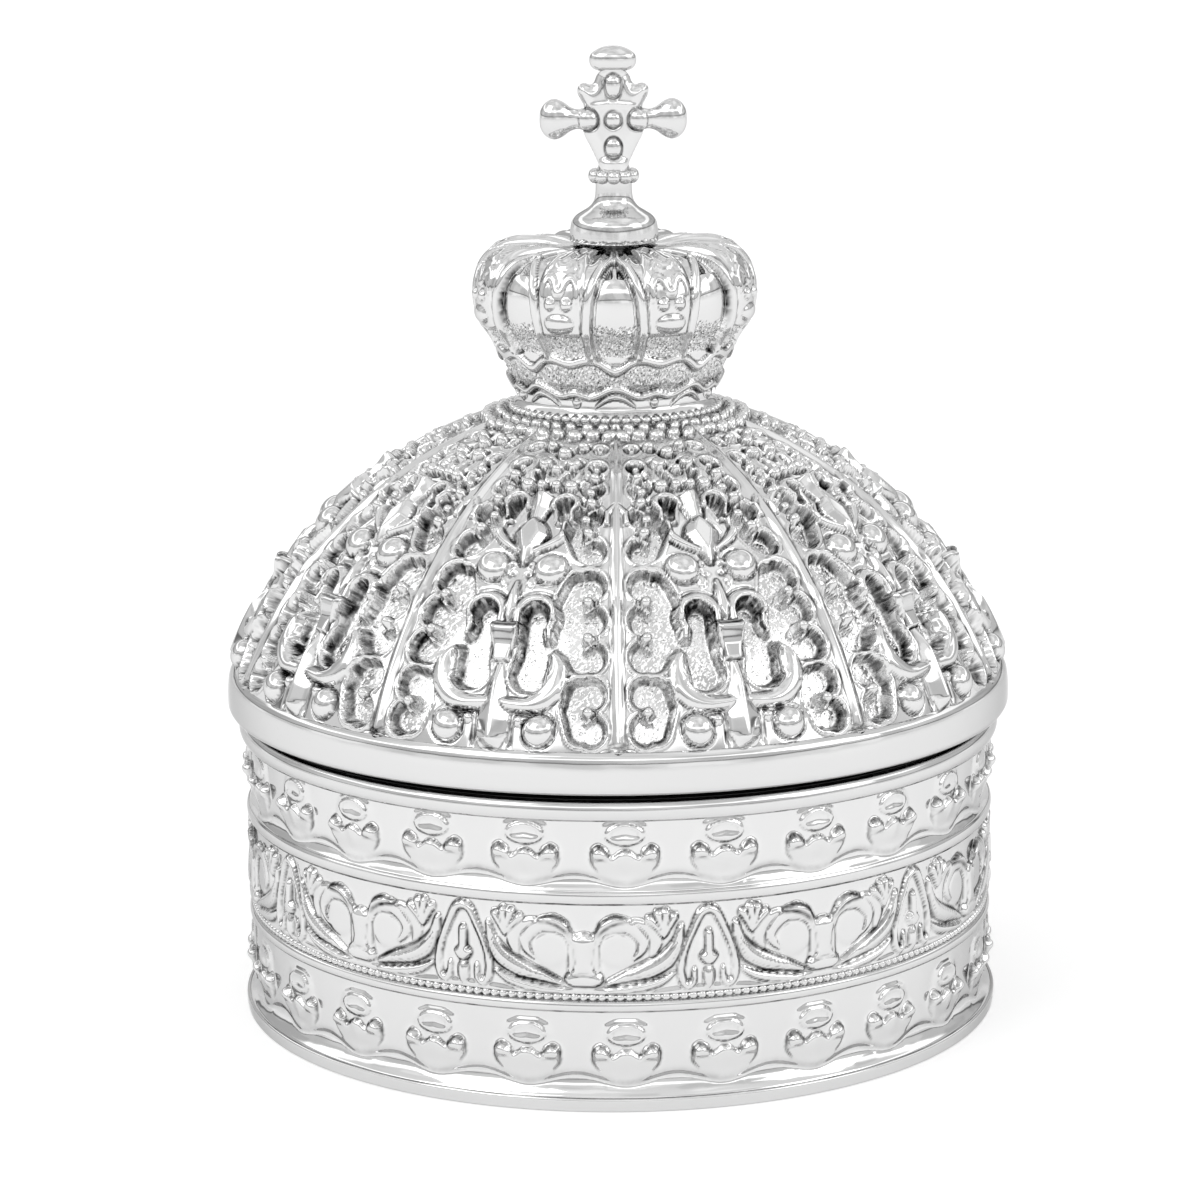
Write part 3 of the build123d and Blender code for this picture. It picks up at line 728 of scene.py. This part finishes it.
def cusp_beads(height, q, s):
    """Beads on the cusps between the bites, each with a curl under it, and bosses in the upper bites."""
    for level in CUSP_LEVELS:
        tip = np.interp(level, (0, 22, 26, 33), (2.75, 2.6, 2.3, 1.7))
        ring = np.hypot(q - tip, s - level)
        height = np.where(ring < 0.95, np.minimum(height, -0.12 - 0.25 * line(ring - 0.62, 0.14)), height)
        height = lift(height, -0.45, 0.95, boss(q, s, tip, level, 0.62))
        curl = [(tip - 0.5, level - 0.4), (tip + 0.3, level - 1)]
        height = lift(height, -0.9, 0.65, cord(q, s, curl, (0.3, 0.24)))
    for (level, _, _), (out, size) in zip(BITES[6:], BITE_BOSSES):
        height = lift(height, -0.8, 0.85, boss(q, s, out, level - 0.1, size))
    return height


def gore_relief(u, s, half):
    """One gore of the dome, s in mm up from the rim: ribs with scalloped edges at both sides, and between
    them two fleurs-de-lis, hooks and bosses that stand round sunk sandy pockets."""
    x, s = np.abs(u), s + 0 * u
    q = half - x
    pocket = gore_pocket(x, q, s)
    form = upper_lily(middle_hooks(lower_lily(rib_form(q, s), u, x, s), u, x, s), x, s)
    form = form + 0.14 * line(pocket + 0.2, 0.13)
    height = form - (form - POCKET_FLOOR) * np.sin(0.5 * pi * np.clip(pocket / POCKET_WALL, 0, 1))
    height = cusp_beads(height, q, s)
    sand = ease(pocket, 0.4, 0.62) * (height < POCKET_FLOOR + 0.3)
    # Painted shade in the slots and grooves: the cap's slot, the slot at the rib's foot, the spear's side
    # grooves and the slot under the hooks.
    shadow_lines = dash(np.clip(x - 1, 0, None) / 0.2, (s - 11.5) / 0.16)
    shadow_lines = shadow_lines + dash(np.clip(q - 0.8, 0, None) / 0.2, (s - 0.75 + 0.45 * np.abs(q - 0.45)) / 0.16)
    shadow_lines = shadow_lines + dash((x - 1.9) / 0.15, np.clip(np.abs(s - 1.5) - 0.6, 0, None) / 0.3)
    shadow_lines = shadow_lines + dash(np.clip(np.abs(x - 3) - 0.9, 0, None) / 0.3, (s - 3.5) / 0.13)
    return height, sand, np.clip(shadow_lines, 0, 1)


def dome_ring(name, start, end, columns, rows):
    """One ring of the dome, between two distances up from the rim."""
    def angle(t):
        return DOME_START + (start + t * (end - start)) / BALL_R

    def meridian(t, radius=BALL_R):
        return radius * np.cos(angle(t)), BALL_Z + radius * np.sin(angle(t))

    def relief(u, t):
        return gore_relief(u, start + t * (end - start), pi / GORES * meridian(t)[0])

    form = meridian, lambda t: (np.cos(angle(t)), np.sin(angle(t))), lambda t: meridian(t, DOME_BACK_R)
    relief_ring(name, form, relief, GORES, columns, rows, 180 / GORES, "lid", "dome_lid")


dome_ring("dome_lower", 0, 13, 128, 74)
dome_ring("dome_middle", 13, 27, 116, 82)
dome_ring("dome_upper", 27, 38.4, 88, 66)


# Crown

CROWN_HALF = 5.26
CROWN_BACK_R, CROWN_BACK_Z, CROWN_BACK_TALL = 2, 59.2, 15.7
crown_line = curve([
    (10.1, 59.1), (10.1, 59.9), (9.6, 60.6), (9.6, 61.5), (10.1, 62.6), (10.7, 63.9), (11.2, 65.2),
    (11.6, 66.4), (12.2, 67.4), (12.9, 68.4), (13.3, 69.6), (13.45, 70.8), (13.35, 72.1), (12.8, 73.4),
    (11.7, 74.5), (10.2, 75), (8, 75.1), (5, 75.1), (3, 75.1)], 200)
crown_length = np.concatenate(([0], np.cumsum(np.hypot(*np.diff(crown_line, axis=0).T))))


def crown_meridian(t):
    """The radius and level at a share t of the way along the crown's outline, from its foot to the middle
    of its top."""
    at = t * crown_length[-1]
    return np.interp(at, crown_length, crown_line[:, 0]), np.interp(at, crown_length, crown_line[:, 1])


def crown_normal(t):
    """The outline's outward direction: its slope from just before to just after, turned by 90 degrees."""
    r0, z0 = crown_meridian(t - 0.01)
    r1, z1 = crown_meridian(t + 0.01)
    size = np.hypot(r1 - r0, z1 - z0)
    return (z1 - z0) / size, -(r1 - r0) / size


def crown_foot(x, q, m, wave, ribbon):
    """Bead row, wavy ribbon with leaves and drops, and over the sandy cup a ribbon with a V."""
    half, pitch = 0.66, 1.315
    beads = rod(np.hypot((np.mod(x + half, pitch) - half) / 0.62, (m - 0.5) / 0.42))
    height = lift(0 * m, 0, 0.32, beads)
    height = np.maximum(height, 0.5 * rod((m - wave) / 0.42))
    leaves = curve([(0, 3.1), (1.1, 2.85), (2.1, 2.3), (2.7, 1.9)], 12)
    height = lift(height, 0, 0.35, cord(x, m, leaves, (0.42, 0.36, 0.25, 0.1)))
    height = lift(height, 0, 0.45, boss(q, m, 0, 2.35, 0.6, 0.6))
    return lift(height, 0, 0.42, plate(0.5 - np.abs(m - ribbon), 0.4))


def crown_side(height, x, q, m, panel):
    """The pointed panel with a rib at each side, and half a swollen lobe with loop, curl, ball and boss."""
    low, body = step(m, 7.2), step(m, 10.1, 0.5)
    rib = x - panel
    lobe = (0.1 + 0.62 * rod(q / 2.25)) * body * step(rib, 0.95, 0.5)
    height = np.maximum(height, np.maximum(lobe, 0.55 * rod((rib - 0.48) / 0.52) * low))
    floor = -0.5 + 0.42 * rod(x / np.maximum(panel, 0.01))
    floor = floor - 0.5 * step(m, 15.9) * (x > 0.22) * (x < panel - 0.3)
    height = height + (floor - height) * (step(-rib, 0.05) * low * (m < 19.5))
    height = height - 0.1 * body * np.exp(-(q / 1) ** 2 - ((m - 14.6) / 1.1) ** 2)
    loop = curve([(1.75, 13.6), (1.7, 14.8), (1.2, 15.5), (0.55, 15.1), (0.3, 14.3), (0, 14.2)], 20)
    height = height + 0.16 * cord(q, m, loop, (0.25, 0.36, 0.36, 0.3, 0.3)) * body
    curl = curve([(1.5, 16.4), (1, 17.2), (0.4, 16.6), (0, 16.5)], 14)
    height = height + 0.12 * cord(q, m, curl, (0.2, 0.32, 0.32)) * body
    height = lift(height, 0.3, 0.85, boss(q, m, 0, 11.45, 1.55, 1))
    return lift(height, 0.35, 0.7, boss(q, m, 0.78, 13.15, 0.6))


def crown_relief(u, t):
    """One arch of the crown, about the middle of a pointed panel. Places are m, mm up along the side, x, mm
    across as at the widest ring, and q, mm from the middle of the lobe. The ribs and lobes run in over the
    top."""
    m = t * crown_length[-1] + 0 * u
    x = np.abs(u) / (pi / ARCHES * crown_meridian(t)[0]) * CROWN_HALF
    q = CROWN_HALF - x
    wave = 3.55 + np.where(x < 3.3, 0.5 * np.cos(pi * x / 3.3), -0.5 + 0.35 * ease(x, 3.3, CROWN_HALF))
    ribbon = 5.9 + 1.2 * ease(x, 0, 2.6) - 0.45 * ease(x, 3, CROWN_HALF)
    panel = np.interp(m, (7, 8, 11, 13.5, 15.5, 17, 18.2, 18.7),
                      (2.1, 2.3, 2.3, 2.05, 1.5, 0.85, 0.25, -0.2))
    rib = x - panel
    height = crown_side(crown_foot(x, q, m, wave, ribbon), x, q, m, panel)
    top = ease(m, 16.8, 18.5)
    height = height + top * (0.14 * np.cos(2 * pi * q / 1.7) - 0.1) - 0.35 * top * line(x, 0.35)
    height = height * (1 - 0.7 * ease(m, 21, 24.5))
    scatter = rng.random(m.shape)
    edge = 10.3 + 0.5 * (rib < 0) * (x / 2.3) ** 2 - m + 1.4 * (scatter - 0.5)
    sand = ease(m, 7.3, 7.7) * ease(edge, -0.1, 0.1)
    sand = sand * (1 - step(-np.abs(rib - 0.48), -0.5)) + step(m, 4.2) * (1 - step(m, ribbon - 0.55))
    sand = np.clip(sand, 0, 1) * (height < 0.25)
    # Painted shadow lines along both edges of the wavy ribbon, under the upper ribbon and beside the ribs;
    # dark specks of sand grain join them at the return.
    shadow_lines = line(m - wave - 0.5, 0.18) * 0.55 + line(m - wave + 0.5, 0.14) * 0.7
    shadow_lines = shadow_lines + line(m - ribbon + 0.55, 0.13) * (x < 2.4)
    shadow_lines = shadow_lines + 0.3 * line(rib + 0.02, 0.1) * step(m, 7.2) * (m < 17)
    return height, sand, np.clip(shadow_lines + 0.8 * sand * (scatter > 0.84), 0, 1)


def crown_ring(name, start, end, columns, rows):
    """One ring of the crown, between two shares of the way along its outline."""
    def way(t):
        return start + t * (end - start)

    form = (lambda t: crown_meridian(way(t)), lambda t: crown_normal(way(t)),
            lambda t: (CROWN_BACK_R, CROWN_BACK_Z + way(t) * CROWN_BACK_TALL))
    relief_ring(name, form, lambda u, t: crown_relief(u, way(t)), ARCHES, columns, rows, 0, "lid", "crown")


crown_ring("crown_side", 0, 0.8, 84, 144)
crown_ring("crown_top", 0.8, 1, 64, 38)


# Cross

SHIELD_Z, ARM_Z = 87, 87.4
# Bosses on the shield: place across, level, half width and half height
CROSS_BEADS = ((0, 90.6, 0.78, 1.15), (0, 87.4, 0.78, 0.8), (-2.45, 87.4, 0.98, 1), (2.45, 87.4, 0.98, 1),
               (0, 84.7, 0.8, 0.98))
# Right half of the shield's outline, as (degrees, radius) about its middle, up to the stem and the knob
SHIELD_HALF = [(-90, 4.5), (-80, 4.55), (-73, 4.4), (-66, 3.9), (-54, 3.36), (-38, 3.05), (-18, 3),
               (0, 2.95), (14, 2.95), (24, 3.05), (31, 3.3), (36, 3.8), (40, 4.4), (44, 4.75), (49, 4.88),
               (54, 4.75), (58, 4.4), (62, 4.25), (67, 4.45), (72, 4.9), (80, 5.2), (90, 5.2)]

bell_side = curve([(4.3, 76.1), (4.23, 77), (4.08, 77.6), (3.7, 78.1), (3.1, 78.5), (2.45, 78.9),
                   (2.02, 79.4), (1.82, 80), (1.76, 80.8), (1.75, 81.6)], 48)
bell_profile = [(0, 75.6), (4.1, 75.6), arc(4.1, 75.8, 0.2, -90, 0, 5), (4.3, 76), bell_side, (1.6, 82.6),
                (1.42, 83.1), (0, 83.2)]
turned("cross_bell", bell_profile, plain_silver, "lid", "cross_finial", columns=128)


def shield():
    """The flat heart of the cross: a cushion whose outline is a smooth closed line, with a small round ear
    at each shoulder. Its half depth is 1.05 sqrt(1 - (1 - d / e)^2) at d mm in from the outline, up to
    d = e = 1.25, and fuller where it meets stem and knob."""
    outline = curve(SHIELD_HALF + [(180 - a, r) for a, r in SHIELD_HALF[-2::-1]], 400)
    angle = -np.linspace(0, 2 * pi, 168, endpoint=False)
    degrees = np.mod(np.degrees(angle) + 90, 360) - 90
    reach = np.interp(degrees, outline[:, 0], outline[:, 1])
    outer = 0.8 + 0.2 * np.sin(np.linspace(0.1, 0.5 * pi, 18))
    way = np.concatenate((np.linspace(0, 0.8, 30), outer))[:, None]
    x, z = way * reach * np.cos(angle), SHIELD_Z + way * reach * np.sin(angle)
    edge_angle = np.radians(outline[:, 0])
    edge_x, edge_z = outline[:, 1] * np.cos(edge_angle), SHIELD_Z + outline[:, 1] * np.sin(edge_angle)
    gap = np.hypot(x[..., None] - edge_x, z[..., None] - edge_z).min(axis=-1)
    deep = 1.05 * plate(gap, 1.25)
    deep = np.maximum(deep, 1.58 * rod(x / 1.62) * ease(85 - z, 0, 1.8))
    deep = np.maximum(deep, 1.15 * rod(x / 1.5) * ease(z, 90.4, 91.8))
    ridge = 0.12 * line(z - 88.9 + 0.04 * x * x, 0.2) * ease(gap, 0.3, 0.8)
    # Rings of painted shade round the foot of each boss, carried as the crease attribute; the same rings cut
    # a shallow groove.
    crease = np.zeros(x.shape)
    for bx, bz, wide, tall in CROSS_BEADS:
        crease = np.maximum(crease, 0.9 * line(np.hypot((x - bx) / wide, (z - bz) / tall) - 1.08, 0.12))
    deep = deep + ridge - 0.12 * crease
    deep[-1] = 0
    front, back = np.stack((x, -deep, z), axis=-1), np.stack((x, deep, z), axis=-1)[-2::-1]
    crease = np.concatenate((crease, crease[-2::-1]))
    make_piece("cross_shield", np.concatenate((front, back)), relief_silver, "lid",
               "cross_finial", along=False, attributes={"crease": crease})


def spindle(name, table, centre, along, flat=1, columns=64, count=48):
    """A closed rounded bar: round or oval sections whose half width follows a smooth line through a table
    of (place, half width), carried along the x axis or the z axis."""
    side = curve(table, count)
    angle = np.linspace(0, 2 * pi, columns, endpoint=False)
    wide, deep = side[:, 1:] * np.cos(angle), side[:, 1:] * flat * np.sin(angle)
    place = side[:, :1] + 0 * angle
    order = (place, -deep, wide) if along == "x" else (wide, deep, place)
    grid = np.stack(order, axis=-1) + np.asarray(centre)
    make_piece(name, grid, plain_silver, "lid", "cross_finial", along=False)


shield()
knob = [(91.9, 0), (92, 1.2), (92.3, 1.95), (92.9, 2.25), (93.6, 2.1), (94.15, 1.3), (94.37, 0.5),
        (94.39, 0)]
spindle("cross_knob", knob, (0, 0, 0), "z", 0.57)
arm = [(7.1, 0), (7, 0.85), (6.5, 1.6), (5.7, 1.95), (4.9, 1.7), (4.1, 1.15), (3.4, 0.95), (2.6, 1.1)]
arms = [(-out, half) for out, half in arm] + [(0, 1.3)] + arm[::-1]
spindle("cross_arms", arms, (0, 0, ARM_Z), "x", 0.66, count=110)
for k, (x, z, wide, tall) in enumerate(CROSS_BEADS):
    for side, face in ((-1, "front"), (1, "back")):
        bead = [(z - tall, 0), (z - 0.87 * tall, 0.5 * wide), (z - 0.5 * tall, 0.87 * wide), (z, wide),
                (z + 0.5 * tall, 0.87 * wide), (z + 0.87 * tall, 0.5 * wide), (z + tall, 0)]
        spindle(f"cross_bead_{k}_{face}", bead, (x, side * 0.85, 0), "z", 0.72, 28, 22)
COLLAR_R, COLLAR_BEADS = 1.85, 10
collar_bead = [(81.25, 0), (81.35, 0.36), (81.6, 0.6), (81.95, 0.7), (82.3, 0.6), (82.55, 0.36),
               (82.65, 0)]
for k in range(COLLAR_BEADS):
    turn = radians(-90 + 360 / COLLAR_BEADS * k)
    centre = (COLLAR_R * cos(turn), COLLAR_R * sin(turn), 0)
    spindle(f"cross_collar_bead_{k}", collar_bead, centre, "z", 1, 20, 16)


# Screw joint

thread = [(1.5 if k % 2 else 1.28, 52.6 + 0.25 * k) for k in range(12)]
stud_profile = [(0, 52.2), (1.1, 52.2), (1.35, 52.45), *thread, (1.45, 55.8), (1.45, 79.6), (0, 79.6)]
turned("stud_thread", stud_profile, bright_steel, "lid", "finial_stud", columns=64)
for name in ("stud_washer", "stud_nut"):
    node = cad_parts[name]
    node.data.materials.clear()
    node.data.materials.append(bright_steel)


# Floor, light and camera

FLOOR_R, FLOOR_GLOW = 6.0, 0.26
LAMP_AIM = (0, 0, 0.045)
PHOTO_PIXELS, FOCAL_PIXELS, SENSOR_MM = 1200, 3972, 36.0
CAMERA_PLACE = (0, -0.3835, 0.1242)
CAMERA_YAW, CAMERA_PITCH, CAMERA_ROLL = radians(-0.253), radians(12.387), radians(-0.526)


def make_floor():
    """A round white floor that keeps the shadow. It glows a little towards the camera and in reflections."""
    finish = Finish("floor_white")
    camera_ray, glossy_ray, clear_ray = (finish.node("ShaderNodeLightPath", output=k) for k in (0, 3, 6))
    seen = camera_ray.most(glossy_ray).most(clear_ray)
    paper = finish.node("ShaderNodeBsdfDiffuse", Color=(0.8, 0.8, 0.8, 1))
    glow = finish.node("ShaderNodeEmission", Color=(1, 1, 1, 1), Strength=seen * FLOOR_GLOW)
    angle = np.linspace(0, 2 * pi, 96, endpoint=False)
    mesh = bpy.data.meshes.new("floor")
    mesh.from_pydata(ring_points(FLOOR_R, 0.0, angle).tolist(), [], [list(range(len(angle)))])
    mesh.materials.append(finish.end(finish.node("ShaderNodeAddShader", i0=paper, i1=glow)))
    floor = bpy.data.objects.new("floor", mesh)
    bpy.context.scene.collection.objects.link(floor)


def make_studio():
    """A white room by height, in steps of grey as soft boxes and a horizon give, with cloudy patches."""
    world = bpy.context.scene.world or bpy.data.worlds.new("studio")
    bpy.context.scene.world = world
    finish = Finish("studio", world=world)
    way = finish.node("ShaderNodeTexCoord", output=0)
    height = finish.node("ShaderNodeSeparateXYZ", output=2, Vector=way)
    sky = finish.ramp([(0.0, 1.0), (0.1, 1.0), (0.12, 0.2), (0.15, 0.2), (0.17, 0.69), (0.42, 0.69),
                       (0.46, 1.8), (0.56, 1.8), (0.6, 0.86), (1.0, 1.0)], height)
    cloud = finish.node("ShaderNodeTexNoise", Vector=way, Scale=2.6, Detail=1.5)
    patches = finish.ramp([(0.0, 0.8), (0.42, 0.84), (0.45, 1.0), (0.56, 1.02), (0.59, 1.22), (1.0, 1.3)],
                          cloud)
    light = finish.node("ShaderNodeBackground", Color=sky * patches, Strength=1.0)
    finish.end(light, "ShaderNodeOutputWorld")


def soft_lamp(name, place, size, power):
    """A square soft box that faces the middle of the case."""
    lamp = bpy.data.lights.new(name, "AREA")
    lamp.shape, lamp.size, lamp.energy = "SQUARE", size, power
    holder = bpy.data.objects.new(name, lamp)
    bpy.context.scene.collection.objects.link(holder)
    holder.location = place
    aim = Vector(LAMP_AIM) - Vector(place)
    holder.rotation_euler = aim.to_track_quat("-Z", "Y").to_euler()


def make_camera():
    """A camera fitted to the photo's rings, turned by yaw, then pitch, then roll."""
    yaw, pitch, roll = CAMERA_YAW, CAMERA_PITCH, CAMERA_ROLL
    forward = Vector((sin(yaw) * cos(pitch), cos(yaw) * cos(pitch), -sin(pitch)))
    level_right = Vector((cos(yaw), -sin(yaw), 0))
    level_up = level_right.cross(forward)
    right = level_right * cos(roll) + level_up * sin(roll)
    up = level_up * cos(roll) - level_right * sin(roll)
    lens = bpy.data.cameras.new("camera")
    lens.sensor_fit, lens.sensor_width = "HORIZONTAL", SENSOR_MM
    lens.lens = FOCAL_PIXELS * SENSOR_MM / PHOTO_PIXELS
    lens.clip_start = 0.01
    camera = bpy.data.objects.new("camera", lens)
    bpy.context.scene.collection.objects.link(camera)
    turn = Matrix((right, up, -forward)).transposed().to_4x4()
    camera.matrix_world = Matrix.Translation(CAMERA_PLACE) @ turn
    bpy.context.scene.camera = camera


make_floor()
make_studio()
soft_lamp("key_box", (-0.55, -0.45, 0.75), 0.55, 1.6)
soft_lamp("fill_box", (0.7, -0.3, 0.5), 0.45, 0.8)
make_camera()
bpy.context.scene.view_settings.view_transform = "Standard"
